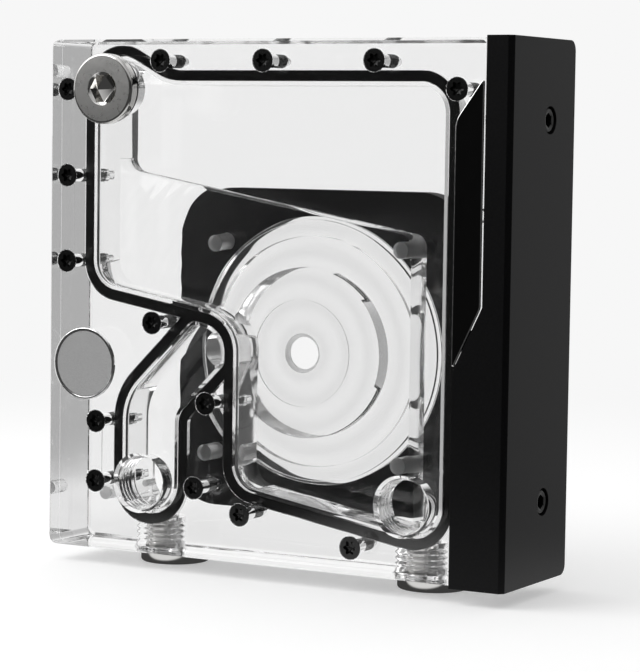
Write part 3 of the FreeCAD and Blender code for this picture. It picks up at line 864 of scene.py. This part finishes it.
def set_screws(node, out, model, material):
    """Sets a modelled screw, its head towards out, at the place of each screw of a CAD node."""
    axis = [abs(v) for v in out].index(1)
    boxes = screw_boxes(node, axis)
    pattern = model(f"{node}_pattern", *boxes[0])
    for index, (low, high) in enumerate(boxes):
        screw = copy_of(pattern, f"{node}_{index + 1}")
        position = (low + high) / 2
        position[axis] = high[axis] if out[axis] > 0 else low[axis]
        place(screw, along(out, position))
        finish(screw, ROOT, "black_screws", material, node)
    bpy.data.objects.remove(pattern)


class RESERVOIR_OT_cover_screws(bpy.types.Operator):
    """Black countersunk screws of the cover, whose threads bite into the body"""

    bl_idname = "reservoir.cover_screws"
    bl_label = "Cover screws"

    def execute(self, context):
        size = sizes()
        bite = (SCREW_CORE + size.screw_bite, PLATE_LOW.y - PLATE_HIGH.y)

        def model(name, low, high):
            return countersunk_screw(name, low, high, SCREW_CORE, size.screw_pitch, [bite])

        set_screws("cover_screws", (0, -1, 0), model, oxide_steel())
        return {"FINISHED"}


# Radius and height in millimetres, from a flange's foot over its rounded edge into its socket
FLANGE_PROFILE = (
    (8.3, 1.3),
    (8.5, 1.5),
    (8.5, 3.3),
    (8.44, 3.58),
    (8.3, 3.8),
    (8.08, 3.94),
    (7.8, 4.0),
    (4.05, 4.0),
    (3.88, 3.85),
    (3.8, 3.5),
)
FLANGE_FOOT = FLANGE_PROFILE[0][1] * MM
FLANGE_SEGMENTS = 96
PLUG_SEGMENTS = 48
PLUG_TIP = 7.0 * MM
PLUG_TIP_BREAK = 0.4 * MM
PLUG_RIDGE_ROOT = 0.1 * MM
SOCKET_DEPTH = 3.2 * MM
SOCKET_POINT = 1.4 * MM
SOCKET_TAPER = 0.1         # width of the drill point's end, as a share of the socket
RING_FACING = 0.98         # how straight a face has to look out to belong to a plug's flat ring


def screw_plug(name):
    """A plug along z, flange top up, that stands on the port's face at z = 0."""
    size = sizes()
    crest = PORT_RADIUS - size.port_play
    core = crest - size.port_depth
    stem = [
        (core - PLUG_TIP_BREAK, -PLUG_TIP),
        (core, PLUG_TIP_BREAK - PLUG_TIP),
        (core, FLANGE_FOOT),
    ]
    flange = [(radius * MM, height * MM) for radius, height in FLANGE_PROFILE]
    plug = turned(name, stem + flange, FLANGE_SEGMENTS)
    shape_cap(plug, hexagon(size.plug_key))
    extrude(-SOCKET_DEPTH)
    extrude(-SOCKET_POINT, SOCKET_TAPER)
    close_up(plug)
    ridge = helix(
        "plug_thread", core - PLUG_RIDGE_ROOT, crest, size.port_pitch, PORT_TURNS, -PLUG_THREAD,
        PLUG_SEGMENTS,
    )
    return joined(plug, ridge)


class RESERVOIR_OT_plugs(bpy.types.Operator):
    """Nickel plated screw plugs with their seal rings"""

    bl_idname = "reservoir.plugs"
    bl_label = "Plugs and seals"

    def execute(self, context):
        pattern = screw_plug("plug_pattern")
        for name, axis in PLUG_AXES.items():
            plug = copy_of(pattern, f"{name}_plug_turned")
            place(plug, along(axis, plug_seat(name)))
            finish(plug, f"{name}_plug_body", "nickel", nickel_plate(), f"{name}_plug")
            assign(
                plug, satin_nickel(),
                lambda at, normal, out=Vector(axis): normal.dot(out) > RING_FACING,
            )
            seal = merged_copy(f"{name}_seal", f"{name}_seal_moulded")
            finish(seal, f"{name}_seal_ring", "seal_rubber", moulded_rubber(), f"{name}_seal")
        bpy.data.objects.remove(pattern)
        return {"FINISHED"}


class RESERVOIR_OT_side_bar(bpy.types.Operator):
    """Black side bar with broken edges, and its socket screws"""

    bl_idname = "reservoir.side_bar"
    bl_label = "Side bar"

    def execute(self, context):
        bar = flat_copy("side_bar", "side_bar_anodised")
        break_edges(bar, sizes().edge_break, segments=2, degrees=35)
        finish(bar, ROOT, "black_anodised", anodised_aluminium(), "side_bar")
        set_screws("side_bar_screws", (1, 0, 0), socket_screw, matt_oxide_steel())
        return {"FINISHED"}


class RESERVOIR_OT_pump_frame(bpy.types.Operator):
    """Black pump frame behind the body, and its screws"""

    bl_idname = "reservoir.pump_frame"
    bl_label = "Pump frame"

    def execute(self, context):
        size = sizes()
        plate = flat_copy("pump_frame", "pump_frame_milled")
        break_edges(plate, size.edge_break, segments=2, degrees=60)
        finish(plate, ROOT, "black_acetal", milled_acetal(), "pump_frame")

        def model(name, low, high):
            return countersunk_screw(name, low, high, FRAME_SCREW_CORE, size.frame_screw_pitch)

        set_screws("pump_frame_screws", (0, 1, 0), model, oxide_steel())
        return {"FINISHED"}


BEVEL_FACING = 0.2         # how far a face has to look forward to belong to the name plate's bevel, which carries the painted highlight


class RESERVOIR_OT_name_plate(bpy.types.Operator):
    """Bare black name plate with a painted highlight on its bevel"""

    bl_idname = "reservoir.name_plate"
    bl_label = "Name plate"

    def execute(self, context):
        plate = flat_copy("name_plate", "name_plate_film")
        break_edges(plate, sizes().plate_break, segments=2, degrees=60)
        finish(plate, ROOT, "black_gloss", gloss_film(), "name_plate")
        # Painted highlight: the bevel's forward-facing faces get bright cut metal, in place of the light that the
        # black film's edge catches.
        assign(plate, cut_aluminium_and_highlight(), lambda at, normal: -FACING < normal.y < -BEVEL_FACING)
        return {"FINISHED"}


class RESERVOIR_OT_badge(bpy.types.Operator):
    """Bare round badge with a bright rim"""

    bl_idname = "reservoir.badge"
    bl_label = "Badge"

    def execute(self, context):
        size = sizes()
        low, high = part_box("badge")
        face_radius = (high.x - low.x) / 2 - size.badge_rim - size.badge_break
        middle = (low + high) / 2
        badge = flat_copy("badge", "badge_satin")
        bpy.ops.object.mode_set(mode="EDIT")
        select_faces(badge, lambda at, normal: normal.y < -FACING)
        bpy.ops.mesh.inset(thickness=size.badge_rim)
        bpy.ops.mesh.inset(thickness=size.badge_break)
        bpy.ops.transform.translate(value=(0, size.badge_sink, 0))
        bpy.ops.object.mode_set(mode="OBJECT")
        break_edges(badge, size.badge_break, segments=2, degrees=60)
        finish(badge, ROOT, "badge_metal", satin_steel(), "badge")
        assign(
            badge, cut_aluminium_and_highlight(),
            lambda at, normal: math.hypot(at.x - middle.x, at.z - middle.z) > face_radius,
        )
        return {"FINISHED"}


# Stage

CAMERA_PLACE = (372.2065, -526.0124, 101.4817)   # millimetres on the front face
CAMERA_YAW = math.radians(29.345)
CAMERA_PITCH = math.radians(4.381)
CAMERA_ROLL = math.radians(-0.8226)
CAMERA_LENS = 139.8
CAMERA_SENSOR = 36.0
CAMERA_NEAR = 0.01


def add_camera():
    """A camera at the photograph's angle."""
    right = Vector((math.cos(CAMERA_YAW), math.sin(CAMERA_YAW), 0))
    ahead = Vector((
        -math.sin(CAMERA_YAW) * math.cos(CAMERA_PITCH),
        math.cos(CAMERA_YAW) * math.cos(CAMERA_PITCH),
        -math.sin(CAMERA_PITCH),
    ))
    down = ahead.cross(right)
    side = right * math.cos(CAMERA_ROLL) + down * math.sin(CAMERA_ROLL)
    under = down * math.cos(CAMERA_ROLL) - right * math.sin(CAMERA_ROLL)
    data = bpy.data.cameras.new("photo_camera")
    data.lens = CAMERA_LENS
    data.sensor_width = CAMERA_SENSOR
    data.clip_start = CAMERA_NEAR
    camera = bpy.data.objects.new("photo_camera", data)
    bpy.context.scene.collection.objects.link(camera)
    turn = Matrix((side, -under, -ahead)).transposed().to_4x4()
    camera.matrix_world = Matrix.Translation(face_point(*CAMERA_PLACE)) @ turn
    bpy.context.scene.camera = camera


BACKDROP_LEVEL = 0.93      # brightness of backdrop and far floor for the camera
FRONT_LEVEL = 0.06         # brightness of the studio's dim front for mirrored and refracted rays
FRONT_LEAN = -0.35         # how far the dim front leans to the right
FRONT_FADE = (-0.55, 0.05)
ABOVE_FADE = (0.25, 0.5)
RIGHT_LEVEL = 0.5          # brightness of its right side
RIGHT_FADE = (-0.1, 0.4)
FLOOR_SIZE = 120.0
FLOOR_LIFT = 0.39          # share of the near floor's brightness that takes no shadow
FLOOR_FADE = (0.12, 0.5)   # metres over which the near floor goes over into the backdrop
FOOTPRINT = 0.07
FLOOR_MIRRORED = 0.9       # brightness of the floor beside the block in mirrored rays
FLOOR_CLEAR = 0.82         # brightness of the floor under the block in refracted rays
UNDER_EDGE = -10.5 * MM    # where the shade under the block starts
UNDER_BLUR = 3.0 * MM
BOUNCES = 32
GLOSS_BOUNCES = 16
SOFT_STEP = {"interpolation_type": "SMOOTHSTEP"}
FLOAT_MIX = {"data_type": "FLOAT"}


def studio_level(tree, direction):
    """Brightness of the studio in a direction: white behind, above and to the left, dim to the front."""
    split = add_node(tree, "ShaderNodeSeparateXYZ", None, {"Vector": direction})
    lean = add_node(
        tree, "ShaderNodeMath", {"operation": "MULTIPLY_ADD"},
        {0: split.outputs["X"], 1: FRONT_LEAN, 2: split.outputs["Y"]},
    )
    front = add_node(
        tree, "ShaderNodeMapRange", SOFT_STEP,
        {"Value": lean.outputs[0], "From Min": FRONT_FADE[0], "From Max": FRONT_FADE[1],
         "To Min": FRONT_LEVEL},
    )
    above = add_node(
        tree, "ShaderNodeMapRange", SOFT_STEP,
        {"Value": split.outputs["Z"], "From Min": ABOVE_FADE[0], "From Max": ABOVE_FADE[1]},
    )
    lit = add_node(
        tree, "ShaderNodeMath", {"operation": "MAXIMUM"},
        {0: front.outputs["Result"], 1: above.outputs["Result"]},
    )
    right = add_node(
        tree, "ShaderNodeMapRange", SOFT_STEP,
        {"Value": split.outputs["X"], "From Min": RIGHT_FADE[0], "From Max": RIGHT_FADE[1],
         "To Min": 1.0, "To Max": RIGHT_LEVEL},
    )
    both = add_node(
        tree, "ShaderNodeMath", {"operation": "MULTIPLY"},
        {0: lit.outputs[0], 1: right.outputs["Result"]},
    )
    return both.outputs[0]


def add_world():
    """A white studio with a dim side behind the camera, and an even backdrop for the camera itself."""
    world = bpy.data.worlds.new("white_studio")
    bpy.context.scene.world = world
    world.use_nodes = True
    tree = world.node_tree
    direction = add_node(tree, "ShaderNodeTexCoord")
    rays = add_node(tree, "ShaderNodeLightPath")
    shown = add_node(
        tree, "ShaderNodeMix", FLOAT_MIX,
        {"Factor": rays.outputs["Is Camera Ray"], "A": studio_level(tree, direction.outputs["Generated"]),
         "B": BACKDROP_LEVEL},
    )
    tree.links.new(shown.outputs["Result"], tree.nodes["Background"].inputs["Color"])


def floor_in_acrylic_and_metal(tree, spot, far, rays):
    """Brightness of the floor for mirrored and refracted rays: light near the block, shaded under it."""
    away = add_node(tree, "ShaderNodeVectorMath", {"operation": "NORMALIZE"}, {0: spot})
    level = studio_level(tree, away.outputs["Vector"])
    split = add_node(tree, "ShaderNodeSeparateXYZ", None, {"Vector": spot})
    near = add_node(
        tree, "ShaderNodeMapRange", SOFT_STEP,
        {"Value": far, "From Min": FOOTPRINT, "From Max": 2 * FOOTPRINT, "To Min": 1.0, "To Max": 0.0},
    )
    refracted = add_node(
        tree, "ShaderNodeMix", FLOAT_MIX, {"Factor": near.outputs["Result"], "A": level, "B": FLOOR_CLEAR}
    )
    behind = add_node(
        tree, "ShaderNodeMapRange", SOFT_STEP,
        {"Value": split.outputs["Y"], "From Min": 0.0, "From Max": 2 * FOOTPRINT,
         "To Min": FRONT_LEVEL, "To Max": RIGHT_LEVEL},
    )
    below = add_node(
        tree, "ShaderNodeMapRange", SOFT_STEP,
        {"Value": split.outputs["Y"], "From Min": UNDER_EDGE - UNDER_BLUR, "From Max": UNDER_EDGE},
    )
    left_of_bar = add_node(
        tree, "ShaderNodeMath", {"operation": "LESS_THAN"}, {0: split.outputs["X"], 1: CAD_BOX[1][0]}
    )
    hidden = add_node(
        tree, "ShaderNodeMath", {"operation": "MULTIPLY"},
        {0: below.outputs["Result"], 1: left_of_bar.outputs[0]},
    )
    shaded = add_node(
        tree, "ShaderNodeMix", FLOAT_MIX,
        {"Factor": hidden.outputs[0], "A": FLOOR_MIRRORED, "B": FRONT_LEVEL},
    )
    beside = add_node(
        tree, "ShaderNodeMix", FLOAT_MIX,
        {"Factor": near.outputs["Result"], "A": behind.outputs["Result"], "B": shaded.outputs["Result"]},
    )
    mirrored = add_node(
        tree, "ShaderNodeMix", FLOAT_MIX,
        {"Factor": rays.outputs["Is Glossy Ray"], "A": level, "B": beside.outputs["Result"]},
    )
    seen = add_node(
        tree, "ShaderNodeMix", FLOAT_MIX,
        {"Factor": rays.outputs["Is Transmission Ray"], "A": mirrored.outputs["Result"],
         "B": refracted.outputs["Result"]},
    )
    return seen.outputs["Result"]


def floor_paint():
    """Studio floor, matt white paint: it takes the shadow near the object and fades into the backdrop."""
    material, tree, shader = start_material("studio_floor_paint")
    if tree is None:
        return material
    shader.inputs["Roughness"].default_value = 0.9
    shader.inputs["Specular IOR Level"].default_value = 0.0
    shader.inputs["Emission Strength"].default_value = 1.0
    spot = add_node(tree, "ShaderNodeTexCoord").outputs["Object"]
    rays = add_node(tree, "ShaderNodeLightPath")
    far = add_node(tree, "ShaderNodeVectorMath", {"operation": "LENGTH"}, {0: spot}).outputs["Value"]
    fade = add_node(
        tree, "ShaderNodeMapRange", SOFT_STEP,
        {"Value": far, "From Min": FLOOR_FADE[0], "From Max": FLOOR_FADE[1]},
    )
    to_camera = add_node(
        tree, "ShaderNodeMix", FLOAT_MIX,
        {"Factor": fade.outputs["Result"], "A": FLOOR_LIFT, "B": BACKDROP_LEVEL},
    )
    lift = add_node(
        tree, "ShaderNodeMix", FLOAT_MIX,
        {"Factor": rays.outputs["Is Camera Ray"], "A": floor_in_acrylic_and_metal(tree, spot, far, rays),
         "B": to_camera.outputs["Result"]},
    )
    tree.links.new(lift.outputs["Result"], shader.inputs["Emission Color"])
    near = add_node(
        tree, "ShaderNodeMath", {"operation": "MULTIPLY_ADD"},
        {0: fade.outputs["Result"], 1: -1.0, 2: 1.0},
    )
    taken = add_node(
        tree, "ShaderNodeMath", {"operation": "MULTIPLY"},
        {0: near.outputs[0], 1: rays.outputs["Is Camera Ray"]},
    )
    paint = add_node(
        tree, "ShaderNodeMix", MULTIPLY, {"Factor": 1.0, "A": colours().floor, "B": taken.outputs[0]}
    )
    tree.links.new(paint.outputs["Result"], shader.inputs["Base Color"])
    return material


def add_floor():
    """A wide floor that keeps the object's shadow."""
    deselect()
    bpy.ops.mesh.primitive_plane_add(size=FLOOR_SIZE, location=(0, 0, CAD_BOX[0][2]))
    floor = bpy.context.object
    floor.name = "studio_floor"
    floor.data.materials.append(floor_paint())


def add_lamp(name, place_mm, target_mm, size_mm, watts):
    """A square soft box that faces a target."""
    data = bpy.data.lights.new(name, "AREA")
    data.shape = "SQUARE"
    data.size = size_mm * MM
    data.energy = watts
    lamp = bpy.data.objects.new(name, data)
    bpy.context.scene.collection.objects.link(lamp)
    start = face_point(*place_mm)
    aim = (face_point(*target_mm) - start).to_track_quat("-Z", "Y")
    lamp.matrix_world = Matrix.Translation(start) @ aim.to_matrix().to_4x4()


class RESERVOIR_OT_stage(bpy.types.Operator):
    """White floor, soft studio light and the camera"""

    bl_idname = "reservoir.stage"
    bl_label = "Stage"

    def execute(self, context):
        add_world()
        add_floor()
        add_lamp(
            "soft_box_left", place_mm=(-330, -330, 420), target_mm=(60, 10, 40), size_mm=450, watts=1.6
        )
        add_camera()
        scene = context.scene
        scene.view_settings.view_transform = "Standard"
        scene.cycles.max_bounces = BOUNCES
        scene.cycles.transmission_bounces = BOUNCES
        scene.cycles.glossy_bounces = GLOSS_BOUNCES
        scene.cycles.transparent_max_bounces = BOUNCES
        return {"FINISHED"}


STEPS = (
    RESERVOIR_OT_acrylic,
    RESERVOIR_OT_gasket,
    RESERVOIR_OT_cover_screws,
    RESERVOIR_OT_plugs,
    RESERVOIR_OT_side_bar,
    RESERVOIR_OT_pump_frame,
    RESERVOIR_OT_name_plate,
    RESERVOIR_OT_badge,
    RESERVOIR_OT_stage,
)


class RESERVOIR_PT_sidebar(bpy.types.Panel):
    """Lists the sizes, the colours and the steps"""

    bl_label = "Reservoir"
    bl_idname = "RESERVOIR_PT_sidebar"
    bl_space_type = "VIEW_3D"
    bl_region_type = "UI"
    bl_category = "Reservoir"

    def draw(self, context):
        for group in (context.scene.reservoir_sizes, context.scene.reservoir_colours):
            for name in group.__annotations__:
                self.layout.prop(group, name)
        for step in STEPS:
            self.layout.operator(step.bl_idname)


CLASSES = (ReservoirSizes, ReservoirColours, *STEPS, RESERVOIR_PT_sidebar)


def register():
    for item in CLASSES:
        bpy.utils.register_class(item)
    bpy.types.Scene.reservoir_sizes = bpy.props.PointerProperty(type=ReservoirSizes)
    bpy.types.Scene.reservoir_colours = bpy.props.PointerProperty(type=ReservoirColours)


def unregister():
    del bpy.types.Scene.reservoir_colours
    del bpy.types.Scene.reservoir_sizes
    for item in reversed(CLASSES):
        bpy.utils.unregister_class(item)


def main():
    register()
    bpy.ops.reservoir.acrylic()
    bpy.ops.reservoir.gasket()
    bpy.ops.reservoir.cover_screws()
    bpy.ops.reservoir.plugs()
    bpy.ops.reservoir.side_bar()
    bpy.ops.reservoir.pump_frame()
    bpy.ops.reservoir.name_plate()
    bpy.ops.reservoir.badge()
    bpy.ops.reservoir.stage()


if __name__ == "__main__":
    main()
